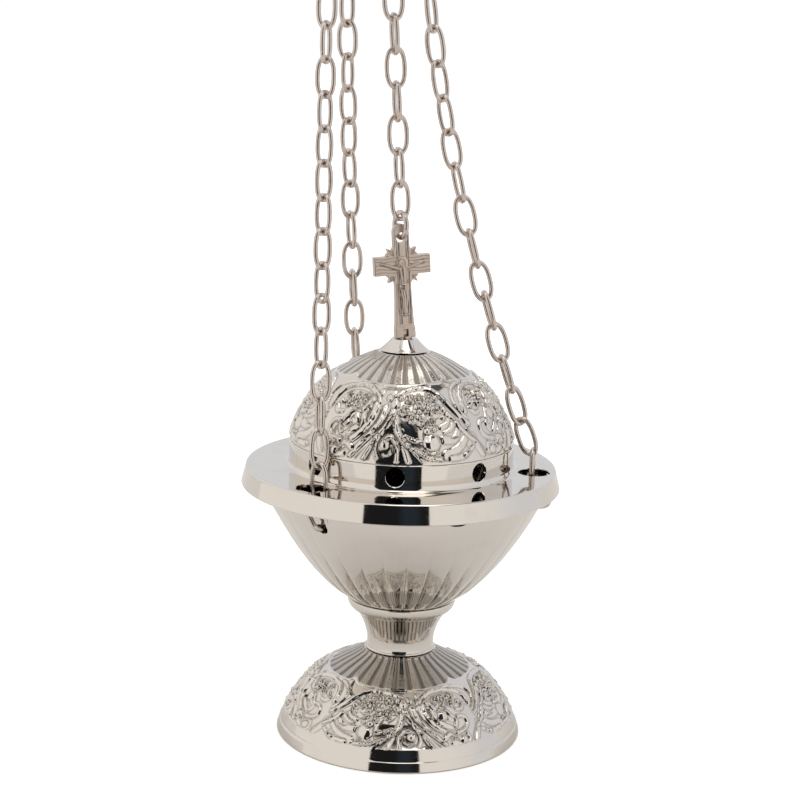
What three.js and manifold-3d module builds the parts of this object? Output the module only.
// A hanging censer on three chains: a fluted bowl on a turned foot, a domed lid with a wide brim,
// a small cross, and a fourth chain that lifts the lid through the cap above.
// Millimetres, +Z up. The lid's axis is the Z axis and the foot stands on Z = 0.

import * as THREE from 'three';
import { mergeVertices } from 'three/addons/utils/BufferGeometryUtils.js';
import Module from 'manifold-3d';

const wasm = await Module();
wasm.setup();

// Driving dimensions
const VESSEL_X = 1.5;          // the loose lid sits this far off the bowl's own axis
const WALL = 1;                // spun sheet of the foot, bowl and dome
const GAP = 0.3;               // clearance between pieces that touch
const ROUND = 48;              // facets round a plain turned piece

const FOOT_R = 43;             // radius of the foot where it stands
const FOOT_TOP_Z = 30;         // the foot's flat top, which carries the stem
const STEM_NECK_R = 11.5;
const STEM_LIP_R = 21.4;
const STEM_LIP_Z = 51;
const BOWL_RIM_R = 49.2;
const BOWL_RIM_Z = 95;
const FLUTES = 32;
const FLUTE_DEPTH = 0.55;
const CHASED_FACETS = 64;      // facets round the two chased shells, the foot and the dome
const TOP_FLUTES = 32;         // the finer flutes at the crown of the foot and of the lid
const TOP_FLUTE_DEPTH = 0.45;

const BRIM_R = 55;             // lower edge of the brim's turned-down skirt
const BRIM_TOP_R = 53;
const BRIM_TOP_Z = 96.3;
const SKIRT_FOOT_Z = 89.6;
const BAND_R = 38.7;           // upright band between the brim and the dome
const BAND_TOP_Z = 105.2;
const VENTS = 8;
const VENT_FIRST = -2.7;       // azimuth of the front vent
const VENT_R = 3.3;
const VENT_Z = 101.2;
const CHAIN_HOLE_R = 5.6;      // holes in the brim for the side chains
const CHAIN_HOLE_AT = 46;      // and how far they are from the lid's axis

const WIRE = 1.85;             // wire of the hooks and small rings
const LINK_LENGTH = 14.3;
const LINK_WIDTH = 7.7;
const LINK_WIRE = 1.7;
const SIDE_LINKS = 17;         // links of each side chain, shared out evenly along its route
const LIFT_LINKS = 10;
// The side chains, with how far their links are twisted: [link, degrees] where the twist changes
const SIDE_CHAINS = [
  { side: 'right', azimuth: 81.5, twist: [[0, 0], [3, -66], [8, -70], [16, 0]] },
  { side: 'front_left', azimuth: -38.5, twist: [[0, 0], [2, -32], [5, -10], [10, -4], [13, 18], [16, 0]] },
  { side: 'back_left', azimuth: -158.5, twist: [[0, 0], [6, -5], [13, 47], [16, 0]] },
];
const LIFT_TWIST = [[0, 0], [2, -11], [7, -11], [9, 0]];
const HOOK_AT = 44.1;          // the hooks' eyes, from the bowl's axis
const HOOK_EYE_Z = 93.8;
const HOOK_HOLE_R = 2.3;
const LOWER_LINKS = 6;         // links of each side chain below its bend

const CAP_X = -16;             // the cap is held a little to the left of the bowl
const CAP_Z = 281;
const CAP_R = 20.5;
const CAP_RING_AT = 19.4;      // the side chains' rings, from the cap's centre
const LIFT_HOLE_AT = 9.6;      // the lid chain's hole, from the cap's centre
const LIFT_HOLE_R = 5.4;
const LIFT_AZIMUTH = 50;

const CROSS_FOOT_Z = 140.8;
const CROSS_LEAN = 4.2;        // degrees to the left, as the lid chain pulls it
const CROSS_TURN = 16;         // degrees about its own shaft
const CROSS_EYE_Z = 34.1;      // height of the cross's hole above its foot

const rad = THREE.MathUtils.degToRad;

// Materials
const metal = (color, roughness) => new THREE.MeshStandardMaterial({ color, roughness, metalness: 1 });
const polished = metal(0xd8d3cd, 0.08);
const warmWire = metal(0xc2b5ab, 0.25);
const matted = metal(0xb9aa9c, 0.38);
const brass = metal(0xb08d4f, 0.35);
const steel = metal(0x9a9a9a, 0.4);
const sooty = metal(0x57504a, 0.6);

// Solids: a closed geometry goes in, is cut or joined, and comes back out
function toSolid(geometry) {
  const bare = geometry.index ? geometry.toNonIndexed() : geometry.clone();
  bare.deleteAttribute('normal');
  bare.deleteAttribute('uv');
  const merged = mergeVertices(bare, 1e-4);
  const corners = [];
  const index = merged.index.array;
  for (let i = 0; i < index.length; i += 3) {
    const [a, b, c] = [index[i], index[i + 1], index[i + 2]];
    if (a !== b && b !== c && c !== a) corners.push(a, b, c);
  }
  const build = (list) => new wasm.Manifold(new wasm.Mesh({
    numProp: 3,
    vertProperties: Float32Array.from(merged.attributes.position.array),
    triVerts: Uint32Array.from(list),
  }));
  const solid = build(corners);
  if (solid.volume() > 0) return solid;
  for (let i = 0; i < corners.length; i += 3) {
    [corners[i + 1], corners[i + 2]] = [corners[i + 2], corners[i + 1]];
  }
  return build(corners);
}

function toGeometry(solid) {
  const mesh = solid.getMesh();
  const geometry = new THREE.BufferGeometry();
  const points = new Float32Array(mesh.numVert * 3);
  for (let i = 0; i < mesh.numVert; i += 1) {
    for (let axis = 0; axis < 3; axis += 1) {
      points[i * 3 + axis] = mesh.vertProperties[i * mesh.numProp + axis];
    }
  }
  geometry.setAttribute('position', new THREE.BufferAttribute(points, 3));
  geometry.setIndex(Array.from(mesh.triVerts));
  geometry.computeVertexNormals();
  return geometry;
}

const join = (solids) => solids.reduce((whole, next) => whole.add(next));

// The way out of a profile's wall at each of its corners, square to its neighbours
function wallNormals(profile) {
  return profile.map((_, i) => {
    const [fromR, fromZ] = profile[Math.max(i - 1, 0)];
    const [toR, toZ] = profile[Math.min(i + 1, profile.length - 1)];
    return new THREE.Vector2(toZ - fromZ, fromR - toR).normalize();
  });
}

// A turned piece. The profile is a closed run of [radius, height], or runs from axis to axis.
// The optional ripple lifts each corner of the profile out of its wall, by its place round the axis.
function turned(profile, facets = ROUND, ripple = null) {
  const points = profile.map(([r, z]) => new THREE.Vector2(r, z));
  const open = profile[0][0] === 0;
  if (!open) points.push(points[0].clone());
  const geometry = new THREE.LatheGeometry(points, facets);
  if (ripple) {
    const normals = wallNormals(profile);
    const position = geometry.attributes.position;
    for (let i = 0; i < position.count; i += 1) {
      const corner = (i % points.length) % profile.length;
      const angle = (Math.floor(i / points.length) % facets) / facets * 2 * Math.PI;
      const moved = points[corner].clone().addScaledVector(normals[corner], ripple(corner, angle));
      position.setXYZ(i, moved.x * Math.sin(angle), moved.y, moved.x * Math.cos(angle));
    }
  }
  geometry.rotateX(Math.PI / 2);
  return toSolid(geometry);
}

function cylinder(radius, height, facets, at, along = new THREE.Vector3(0, 0, 1)) {
  const geometry = new THREE.CylinderGeometry(radius, radius, height, facets);
  const turn = new THREE.Quaternion().setFromUnitVectors(new THREE.Vector3(0, 1, 0), along);
  geometry.applyQuaternion(turn);
  geometry.translate(at.x, at.y, at.z);
  return toSolid(geometry);
}

function wire(points, diameter, steps, sides = 6) {
  const route = new THREE.CatmullRomCurve3(points, false, 'centripetal');
  const section = new THREE.Shape();
  for (let i = 0; i < sides; i += 1) {
    const angle = i / sides * 2 * Math.PI;
    const corner = [diameter / 2 * Math.cos(angle), diameter / 2 * Math.sin(angle)];
    if (i === 0) section.moveTo(...corner);
    else section.lineTo(...corner);
  }
  return toSolid(new THREE.ExtrudeGeometry(section, { steps, extrudePath: route, bevelEnabled: false }));
}

// Placing: azimuth 0 is the front, and it grows towards +X
const outward = (azimuth) => new THREE.Vector3(Math.sin(rad(azimuth)), -Math.cos(rad(azimuth)), 0);
const sideways = (azimuth) => new THREE.Vector3(Math.cos(rad(azimuth)), Math.sin(rad(azimuth)), 0);
const up = new THREE.Vector3(0, 0, 1);

const part = new THREE.Group();
const vessel = new THREE.Group();
vessel.position.x = VESSEL_X;
part.add(vessel);

function add(name, solid, material, group = part) {
  const mesh = new THREE.Mesh(toGeometry(solid), material);
  mesh.name = name;
  group.add(mesh);
  return mesh;
}

// Chased foliage, four times round a band: the main masses of one quarter. Its x runs from -1 to 1
// across the quarter, y from 0 to 1 up the band, and the half sizes are millimetres.
const CHASED_QUARTER = 28.3;   // half of the quarter's width
const CHASED_RISE = 0.6;
const CHASED_GROUND = 0.15;    // how far the ground between the masses is beaten back
const CHASED_FROM = 0.05;      // the chasing and the flutes, as shares of the band's height
const CHASED_TO = 0.97;
const FLUTED_FROM = 1.05;
const CHASED_MASSES = [
  { x: 0.4, y: 0.6, wide: 8.5, high: 8 },        // flower heads inside the big scroll
  { x: 0.42, y: 0.14, wide: 8, high: 4.5 },      // the scroll's bud and rim
  { x: -0.05, y: 0.7, wide: 5, high: 6 },        // where scroll and leaves spring
  { x: -0.34, y: 0.4, wide: 7.5, high: 9.5 },    // a hand of leaves
  { x: 0, y: 0.2, wide: 5, high: 5.5 },          // a tight curl
  { x: -0.62, y: 0.7, wide: 6, high: 6.5 },      // small flowers inside the lesser scroll
  { x: -0.72, y: 0.22, wide: 6, high: 5.5 },     // curls on its back
  { x: 0.82, y: 0.24, wide: 5.5, high: 6 },      // leaves in the right corner
  { x: 1, y: 0.74, wide: 4.5, high: 8 },         // the double stem between two quarters
];

function chasedLift(azimuth, share, bandHeight) {
  let lift = -CHASED_GROUND;
  for (const { x, y, wide, high } of CHASED_MASSES) {
    const aside = THREE.MathUtils.euclideanModulo(azimuth / 45 - x + 1, 2) - 1;
    const off = Math.hypot(aside * CHASED_QUARTER / wide, (share - y) * bandHeight / high);
    if (off < 1) lift = Math.max(lift, CHASED_RISE * Math.sqrt(1 - off * off));
  }
  return lift;
}

// A spun shell with a chased band of that height, from a length along its outer profile, in
// quarters that are turned to an azimuth. Above the band it is fluted, apart from its last corner.
function chasedShell(outer, hollow, bandStart, bandHeight, turnedTo) {
  let length = 0;
  const shares = outer.map(([r, z], i) => {
    if (i > 0) length += Math.hypot(r - outer[i - 1][0], z - outer[i - 1][1]);
    return (length - bandStart) / bandHeight;
  });
  const ripple = (corner, angle) => {
    const share = shares[corner - 1];
    if (share === undefined || corner >= outer.length || share < CHASED_FROM) return 0;
    if (share < CHASED_TO) {
      return chasedLift(THREE.MathUtils.radToDeg(angle) - turnedTo, share, bandHeight);
    }
    if (share < FLUTED_FROM) return 0;
    return -TOP_FLUTE_DEPTH * (1 - Math.cos(TOP_FLUTES * angle)) / 2;
  };
  const solid = turned([[0, outer[0][1]], ...outer, [0, outer.at(-1)[1]]], CHASED_FACETS, ripple);
  return solid.subtract(turned(hollow, CHASED_FACETS / 2));
}

// Foot: a sloped band with a bead, then a low dome, chased, with radial flutes under the stem
function makeFoot() {
  const outer = [
    [FOOT_R, 0], [42.2, 3.4], [41.6, 4.2], [40.7, 7.2], [39.4, 8.2], [37.7, 10.7], [35.9, 13.5],
    [33.6, 16.4], [31, 19], [27.8, 21.2], [24.6, 22.9], [22.6, 23.9], [15.4, 28], [12.6, FOOT_TOP_Z],
  ];
  const hollow = [
    [0, -WALL], [FOOT_R - WALL, -WALL], [FOOT_R - WALL, 0], [37.2, 8.6], [28.9, 18.8],
    [11.8, FOOT_TOP_Z - WALL], [4, FOOT_TOP_Z - WALL], [4, FOOT_TOP_Z + WALL], [0, FOOT_TOP_Z + WALL],
  ];
  return chasedShell(outer, hollow, 8.1, 22, 4);
}
add('foot', makeFoot(), polished, vessel);

// Stem: a trumpet with a bead at its base and a plain lip under the bowl
function makeStem() {
  const base = FOOT_TOP_Z + GAP;
  const outer = [
    [12.4, base], [12.5, base + 0.8], [STEM_NECK_R, base + 1.7], [12.1, 36.4], [13.8, 40.6],
    [16.2, 44.2], [19.4, 47.4], [STEM_LIP_R, 48.6], [STEM_LIP_R, STEM_LIP_Z],
  ];
  const inner = [
    [18.4, STEM_LIP_Z], [14.9, 45], [10.6, 37.4], [10.2, base + 1.4], [4, base + 1.4], [4, base],
  ];
  return turned([...outer, ...inner], 24);
}
add('stem', makeStem(), polished, vessel);

// Bowl: each flute is a shallow swell between two sharp valleys
function makeBowl() {
  const base = STEM_LIP_Z + GAP;
  const outer = [
    [21.6, base], [25.4, 54], [31.1, 59.9], [36.8, 67.2], [42.9, 76.7], [47, 84.4],
    [48.7, 89.6], [BOWL_RIM_R, BOWL_RIM_Z],
  ];
  const inner = [
    [BOWL_RIM_R - WALL, BOWL_RIM_Z], [45.8, 84.4], [35.5, 67.6], [24.6, 54.8], [20, 52.6],
    [4, 52.6], [4, base],
  ];
  const firstFluted = 1;
  const lastFluted = 5;
  const ripple = (corner, angle) => {
    if (corner < firstFluted || corner > lastFluted) return 0;
    return -FLUTE_DEPTH * (1 - Math.cos(FLUTES * angle)) / 2;
  };
  return turned([...outer, ...inner], FLUTES * 2, ripple);
}

// The hooks: from an eye inside the rim, down, out through the wall and up again outside
function hookRoute(azimuth) {
  const out = outward(azimuth);
  const side = sideways(azimuth);
  const offset = VESSEL_X * Math.sin(rad(azimuth));
  const spot = (r, t, z) => out.clone().multiplyScalar(r + offset).addScaledVector(side, t).setZ(z);
  return [
    spot(HOOK_AT + 1.7, 0.4, 90.2), spot(HOOK_AT + 1.85, 0, 91.9), spot(HOOK_AT + 1.2, 0, 93.4),
    spot(HOOK_AT, 0, HOOK_EYE_Z), spot(HOOK_AT - 1.4, 0, 93.3), spot(HOOK_AT - 2.2, 0, 91.7),
    spot(HOOK_AT - 2, 1.4, 88.2), spot(HOOK_AT - 0.8, 2.8, 85.2), spot(HOOK_AT + 2.4, 3.9, 83.3),
    spot(HOOK_AT + 5.2, 3.6, 84.2), spot(HOOK_AT + 6.1, 2, 87.2), spot(HOOK_AT + 6.35, 1.2, 88.9),
  ];
}
const THROUGH_WALL = 8;        // which of these marks lies in the hole in the bowl's wall

function cutBowl(bowl) {
  const ventWidth = 5;
  const ventHeight = 3;
  const ventZ = 90.1;
  let cut = bowl;
  for (const { azimuth } of SIDE_CHAINS) {
    const through = hookRoute(azimuth)[THROUGH_WALL].sub(vessel.position);
    cut = cut.subtract(cylinder(HOOK_HOLE_R, 8, 10, through, outward(azimuth)));
    const out = outward(azimuth + 60);
    const vent = new THREE.CylinderGeometry(1, 1, 8, 10);
    vent.scale(ventWidth, 1, ventHeight);
    vent.rotateZ(Math.PI);
    vent.rotateZ(rad(azimuth + 60));
    vent.translate(out.x * BOWL_RIM_R, out.y * BOWL_RIM_R, ventZ);
    cut = cut.subtract(toSolid(vent));
  }
  return cut;
}
add('bowl', cutBowl(makeBowl()), polished, vessel);

// The bolt that draws bowl, stem and foot together
const BOLT_R = 3;
const boltTop = 54.6;
function hexHead(acrossCorners, height, z) {
  return cylinder(acrossCorners / 2, height, 6, new THREE.Vector3(0, 0, z + height / 2));
}
function makeTieBolt() {
  const shank = cylinder(BOLT_R, 33.4, 16, new THREE.Vector3(0, 0, 38.2));
  const head = [[0, boltTop], [4.4, boltTop], [6, boltTop + 0.8], [5.4, boltTop + 2.2], [0, boltTop + 3]];
  return shank.add(turned(head, 24));
}
add('tie_bolt', makeTieBolt(), steel, vessel);

function washer(outerR, innerR, z, height) {
  return turned([[innerR, z], [outerR, z], [outerR, z + height], [innerR, z + height]], 16);
}
add('bowl_washer', washer(8, BOLT_R + GAP, 52.9, 1.3), steel, vessel);
const footUnder = FOOT_TOP_Z - WALL;
add('foot_washer', washer(9, BOLT_R + GAP, footUnder - GAP - 1.4, 1.4), steel, vessel);
const nutZ = footUnder - 2 * GAP - 1.4 - 4.2;
const nutHole = cylinder(BOLT_R + GAP, 10, 16, new THREE.Vector3(0, 0, nutZ + 2));
add('tie_nut', hexHead(11.5, 4.2, nutZ).subtract(nutHole), brass, vessel);

// Charcoal pan: a loose dish with a flange that rests on the bowl's flare
function makePan() {
  const rim = 72.2;
  return turned([
    [0, 59.6], [22, 59.6], [27, 62.4], [33.2, rim - 1], [37.4, rim], [37.6, rim + 1], [32.8, rim + 0.4],
    [26.2, 64], [21.4, 60.8], [0, 60.8],
  ], 24);
}
add('charcoal_pan', makePan(), sooty, vessel);

// Lid brim: a wide flat plate with a flared skirt outside and the vented band inside
function makeBrim() {
  const under = BRIM_TOP_Z - 1;
  const brim = turned([
    [BRIM_R, SKIRT_FOOT_Z], [BRIM_TOP_R + 0.5, 95.6], [BRIM_TOP_R, BRIM_TOP_Z],
    [40.6, BRIM_TOP_Z], [BAND_R, 97.6], [BAND_R, BAND_TOP_Z],
    [BAND_R - 1, BAND_TOP_Z], [BAND_R - 1, under], [BRIM_TOP_R - 0.8, under],
    [BRIM_R - 1, SKIRT_FOOT_Z],
  ]);
  let cut = brim;
  for (const { azimuth } of SIDE_CHAINS) {
    const at = outward(azimuth).multiplyScalar(CHAIN_HOLE_AT).setZ(BRIM_TOP_Z);
    cut = cut.subtract(cylinder(CHAIN_HOLE_R, 6, 18, at));
  }
  for (let i = 0; i < VENTS; i += 1) {
    const out = outward(i * 360 / VENTS + VENT_FIRST);
    const at = out.clone().multiplyScalar(BAND_R).setZ(VENT_Z);
    cut = cut.subtract(cylinder(VENT_R, 5, 10, at, out));
  }
  return cut;
}
add('lid_brim', makeBrim(), polished);

// Lid dome: chased from its foot up, and fluted at the crown
function makeDome() {
  const base = BAND_TOP_Z + GAP;
  const top = 136.2;
  const outer = [
    [38.4, base], [38, 107.4], [36.9, 110.6], [35.4, 113.9], [33.7, 117.2], [31.6, 120.4],
    [29.1, 123.4], [26.1, 126.2], [22.6, 128.9], [20.6, 130.3], [14.6, 133.7], [9, 136], [3, top],
  ];
  const hollow = [
    [0, base - WALL], [37, base - WALL], [37, base], [33.1, 115.4], [23.9, 126.4], [8.6, 134.8],
    [3, 135], [3, top + WALL], [0, top + WALL],
  ];
  return chasedShell(outer, hollow, 0.9, 28, -5.5);
}
add('lid_dome', makeDome(), polished);

// The finial: a small cone, the cross screwed through it, and its nut inside the lid
const CONE_BASE_Z = 136.2 + GAP;
function makeCone() {
  return turned([
    [2.6, CONE_BASE_Z], [8.2, CONE_BASE_Z], [8.2, CONE_BASE_Z + 0.3], [6, CONE_BASE_Z + 2.2],
    [4.2, CONE_BASE_Z + 3.9], [2.6, CONE_BASE_Z + 3.9],
  ], 24);
}
add('finial_cone', makeCone(), polished);

// Cross outline on its own plane, foot at the origin, with a rounded top for the eye
function crossShape() {
  const foot = 3.5;
  const waist = 2.8;
  const arm = 9.8;
  const armLow = 21.6;
  const armHigh = 28;
  const ray = 5.3;
  const crown = 36;
  // Half of the outline, up the right side, with a cluster of three rays in each corner
  const half = [
    [foot, 0], [waist, armLow - 2.8], [ray - 1.5, armLow - 2], [ray, armLow - 2.8],
    [ray - 0.5, armLow - 1.1], [ray, armLow], [arm, armLow], [arm, armHigh], [ray, armHigh],
    [ray - 0.5, armHigh + 1.1], [ray, armHigh + 2.8], [ray - 1.5, armHigh + 2],
    [waist, armHigh + 2.8], [waist, crown],
  ];
  const shape = new THREE.Shape();
  shape.moveTo(-foot, 0);
  for (const [x, y] of half) shape.lineTo(x, y);
  shape.absarc(0, crown, waist, 0, Math.PI, false);
  for (const [x, y] of half.reverse().slice(1, -1)) shape.lineTo(-x, y);
  shape.closePath();
  return shape;
}

const CROSS_DEPTH = 3;
function makeCross() {
  const plate = new THREE.ExtrudeGeometry(crossShape(), {
    depth: CROSS_DEPTH, bevelEnabled: false, curveSegments: 8,
  });
  plate.translate(0, 0, -CROSS_DEPTH / 2);
  plate.rotateX(Math.PI / 2);
  const eye = cylinder(1.8, 8, 12, new THREE.Vector3(0, 0, CROSS_EYE_Z), new THREE.Vector3(0, 1, 0));
  const front = -CROSS_DEPTH / 2;
  const trunk = figureLimb(1.25, 7, [0, front, 17.6], [0, front, 24]);
  const legs = figureLimb(1.05, 8, [0, front, 8.8], [0.3, front - 0.3, 17.9]);
  const head = new THREE.SphereGeometry(1.15, 8, 6);
  head.translate(-0.4, front - 0.4, 25.4);
  const arm = (hand) => figureLimb(0.55, 6, [hand * 0.8, front, 23.6], [hand * 7, front, 25.8]);
  const cross = join([toSolid(plate).subtract(eye), trunk, legs, toSolid(head), arm(-1), arm(1)]);
  return onCross(cross).add(cylinder(CROSS_NECK_R, 12, 12, new THREE.Vector3(0, 0, CROSS_FOOT_Z - 5.6)));
}

// One tapered limb of the low-relief figure, half sunk in the cross
function figureLimb(radius, sides, from, to) {
  const a = new THREE.Vector3(...from);
  const b = new THREE.Vector3(...to);
  const along = b.clone().sub(a);
  const limb = new THREE.CylinderGeometry(radius * 1.2, radius * 0.8, along.length(), sides);
  const turn = new THREE.Quaternion().setFromUnitVectors(new THREE.Vector3(0, 1, 0), along.normalize());
  limb.applyQuaternion(turn);
  const middle = a.add(b).multiplyScalar(0.5);
  limb.translate(middle.x, middle.y, middle.z);
  return toSolid(limb);
}

// The cross stands on its threaded neck, turned a little and drawn over by the lid chain
const CROSS_NECK_R = 2.2;
const crossFrame = new THREE.Matrix4()
  .makeRotationFromEuler(new THREE.Euler(0, -rad(CROSS_LEAN), rad(CROSS_TURN), 'YXZ'))
  .setPosition(0, 0, CROSS_FOOT_Z);
const onCross = (solid) => solid.transform(crossFrame.elements);
add('crucifix', makeCross(), matted);

const underDome = 134.8;
add('finial_washer', washer(6.5, 3, underDome - GAP - 1.2, 1.2), steel);
const finialNutZ = underDome - 2 * GAP - 1.2 - 2.6;
const finialNutHole = cylinder(3, 6, 16, new THREE.Vector3(0, 0, finialNutZ + 1));
add('finial_nut', hexHead(9.5, 2.6, finialNutZ).subtract(finialNutHole), brass);

// Chain links: an oval is a ring whose two halves are drawn apart
const WIRE_SIDES = 4;
function linkGeometry() {
  const steps = 8;
  const link = new THREE.TorusGeometry((LINK_WIDTH - LINK_WIRE) / 2, LINK_WIRE / 2, WIRE_SIDES, steps);
  link.rotateZ(Math.PI / steps);
  const stretch = (LINK_LENGTH - LINK_WIDTH) / 2;
  const position = link.attributes.position;
  for (let i = 0; i < position.count; i += 1) {
    position.setY(i, position.getY(i) + Math.sign(position.getY(i)) * stretch);
  }
  return link;
}
// A link at a point of the chain, its length along the chain, turned about it
function placeLink(at, along, face, turnDegrees) {
  const y = along.clone().normalize();
  const x = face.clone().addScaledVector(y, -face.dot(y)).normalize();
  const z = x.clone().cross(y);
  const link = linkGeometry();
  link.rotateY(rad(turnDegrees));
  link.applyMatrix4(new THREE.Matrix4().makeBasis(x, y, z));
  link.translate(at.x, at.y, at.z);
  return toSolid(link);
}

// A run starts a little inside the wire it hangs on, with its first link's middle this far along
const SEAT_DROP = WIRE + GAP - 0.75;
const FIRST_LINK = 5.5;

function twistAt(twist, link) {
  const next = twist.findIndex(([at]) => at >= link);
  if (next <= 0) return twist.at(next)[1];
  const [[from, low], [to, high]] = [twist[next - 1], twist[next]];
  return THREE.MathUtils.mapLinear(link, from, to, low, high);
}

// Links from..to of a chain that shares its route evenly, apart from the one loose seat where its
// lower and upper runs meet. Each link is turned a quarter from the last, and twisted.
function chainRun(route, links, from, to, face, twist, split = links) {
  const length = route.getLength();
  const looseSeat = LINK_LENGTH - 2 * LINK_WIRE - 2 * GAP;
  const seats = split < links ? links - 2 : links - 1;
  const pitch = (length - FIRST_LINK * 2 - (split < links ? looseSeat : 0)) / seats;
  const run = [];
  for (let i = from; i < to; i += 1) {
    const along = i < split ? FIRST_LINK + i * pitch : length - FIRST_LINK - (links - 1 - i) * pitch;
    const here = along / length;
    const turn = (i % 2) * 90 + twistAt(twist, i);
    run.push(placeLink(route.getPointAt(here), route.getTangentAt(here), face, turn));
  }
  return join(run);
}

// A slack chain between two points: upright through the brim, then slanting in and steepening
const UPRIGHT = 0.05;
const SLACK_CURVE = 1.55;
class SlackChain extends THREE.Curve {
  constructor(low, high) {
    super();
    this.low = low;
    this.high = high;
    this.arcLengthDivisions = 400;
  }

  getPoint(t) {
    const free = Math.max(t - UPRIGHT, 0) / (1 - UPRIGHT);
    const sag = 1 - (1 - free) ** SLACK_CURVE;
    return new THREE.Vector3(
      THREE.MathUtils.lerp(this.low.x, this.high.x, sag),
      THREE.MathUtils.lerp(this.low.y, this.high.y, sag),
      THREE.MathUtils.lerp(this.low.z, this.high.z, t),
    );
  }
}

// A round wire ring standing upright in the plane of an azimuth
function uprightRing(radius, diameter, centre, azimuth, steps = 12, sides = 5) {
  const loop = new THREE.TorusGeometry(radius, diameter / 2, sides, steps);
  loop.rotateX(Math.PI / 2);
  loop.rotateZ(rad(azimuth) - Math.PI / 2);
  loop.translate(centre.x, centre.y, centre.z);
  return toSolid(loop);
}

const capCentre = new THREE.Vector3(CAP_X, 0, CAP_Z);
const CAP_RING_R = 3.3;
const CAP_RING_DROP = 1.5;
for (const { side, azimuth, twist } of SIDE_CHAINS) {
  const out = outward(azimuth);
  add(`hook_${side}`, wire(hookRoute(azimuth), WIRE, 22, 5), warmWire);

  const ringAt = capCentre.clone().addScaledVector(out, CAP_RING_AT).addScaledVector(up, -CAP_RING_DROP);
  add(`cap_ring_${side}`, uprightRing(CAP_RING_R, WIRE, ringAt, azimuth), warmWire);

  const curlMiddle = HOOK_AT - 0.2 + VESSEL_X * Math.sin(rad(azimuth));
  const low = out.clone().multiplyScalar(curlMiddle).setZ(HOOK_EYE_Z - SEAT_DROP);
  const high = ringAt.clone().setZ(ringAt.z - CAP_RING_R + SEAT_DROP);
  const route = new SlackChain(low, high);
  const run = (from, to) => chainRun(route, SIDE_LINKS, from, to, sideways(azimuth), twist, LOWER_LINKS);
  add(`chain_lower_${side}`, run(0, LOWER_LINKS), warmWire);
  add(`chain_upper_${side}`, run(LOWER_LINKS, SIDE_LINKS), warmWire);
}

// The lid chain: a round link through the cross, then a straight run up through the cap
const CROSS_RING_R = 4.2;
const CROSS_RING_AZIMUTH = 28;
const crossEye = new THREE.Vector3(0, 0, CROSS_EYE_Z).applyMatrix4(crossFrame);
const crossRingAt = crossEye.clone().addScaledVector(up, CROSS_RING_R);
const liftLow = crossRingAt.clone().setZ(crossRingAt.z + CROSS_RING_R - SEAT_DROP);
const liftHole = capCentre.clone().addScaledVector(outward(LIFT_AZIMUTH), LIFT_HOLE_AT);
const liftWay = liftHole.clone().sub(liftLow).normalize();
const LIFT_PITCH = 11;
const liftHigh = liftLow.clone().addScaledVector(liftWay, LIFT_PITCH * LIFT_LINKS);
add('cross_link', uprightRing(CROSS_RING_R, WIRE, crossRingAt, CROSS_RING_AZIMUTH, 14), warmWire);
const liftFace = sideways(CROSS_RING_AZIMUTH);
const liftLine = new THREE.LineCurve3(liftLow, liftHigh);
add('lift_chain', chainRun(liftLine, LIFT_LINKS, 0, LIFT_LINKS, liftFace, LIFT_TWIST), warmWire);

// The pull ring hangs in the last link, above the cap
const PULL_RING_R = 9;
const PULL_WIRE = 2.4;
const pullRingAt = liftHigh.clone().addScaledVector(up, PULL_RING_R - SEAT_DROP - (PULL_WIRE - WIRE) / 2);
const pullAzimuth = CROSS_RING_AZIMUTH + (LIFT_LINKS % 2 ? 0 : 90);
add('pull_ring', uprightRing(PULL_RING_R, PULL_WIRE, pullRingAt, pullAzimuth, 20, 6), warmWire);

// Cap: a shallow dome with a rolled edge, a hole for the lid chain and three for the rings
function makeCap() {
  const profile = [
    [2.6, CAP_Z + 3.4], [2.6, CAP_Z + 2.2], [8, CAP_Z + 1.7], [14, CAP_Z + 0.2], [17, CAP_Z - 1],
    [CAP_R, CAP_Z - 1], [CAP_R, CAP_Z], [17, CAP_Z], [14.4, CAP_Z + 1.5],
    [8.2, CAP_Z + 3],
  ];
  const liftHoleAt = outward(LIFT_AZIMUTH).multiplyScalar(LIFT_HOLE_AT).setZ(CAP_Z);
  let cap = turned(profile, 24).subtract(cylinder(LIFT_HOLE_R, 12, 14, liftHoleAt));
  for (const { azimuth } of SIDE_CHAINS) {
    const at = outward(azimuth).multiplyScalar(CAP_RING_AT - CAP_RING_R).setZ(CAP_Z);
    cap = cap.subtract(cylinder(1.7, 8, 8, at));
  }
  return cap.translate(CAP_X, 0, 0);
}
add('chain_cap', makeCap(), polished);

// The eye bolt through the cap's middle carries the hanging ring, and a nut holds it from below
const EYE_R = 3.2;
const EYE_WIRE = 2.2;
const eyeCentre = capCentre.clone().setZ(CAP_Z + 8.2);
function makeEyeBolt() {
  const shank = cylinder(2.2, 9.6, 12, capCentre.clone().setZ(CAP_Z + 0.2));
  const collar = cylinder(4, 1, 16, capCentre.clone().setZ(CAP_Z + 4.2));
  return join([shank, collar, uprightRing(EYE_R, EYE_WIRE, eyeCentre, LIFT_AZIMUTH, 14, 6)]);
}
add('cap_eye_bolt', makeEyeBolt(), warmWire);
const capNutHole = cylinder(2.5, 6, 12, new THREE.Vector3(0, 0, CAP_Z));
const capNut = hexHead(8.4, 2.6, CAP_Z - 1.2).subtract(capNutHole);
add('cap_nut', capNut.translate(CAP_X, 0, 0), brass);

const HANG_RING_R = 12;
const HANG_WIRE = 2.6;
const hangRise = EYE_R - EYE_WIRE / 2 - HANG_WIRE / 2 - GAP + HANG_RING_R;
const hangRingAt = eyeCentre.clone().addScaledVector(up, hangRise);
add('hanging_ring', uprightRing(HANG_RING_R, HANG_WIRE, hangRingAt, LIFT_AZIMUTH + 90, 24, 6), warmWire);

export default part;
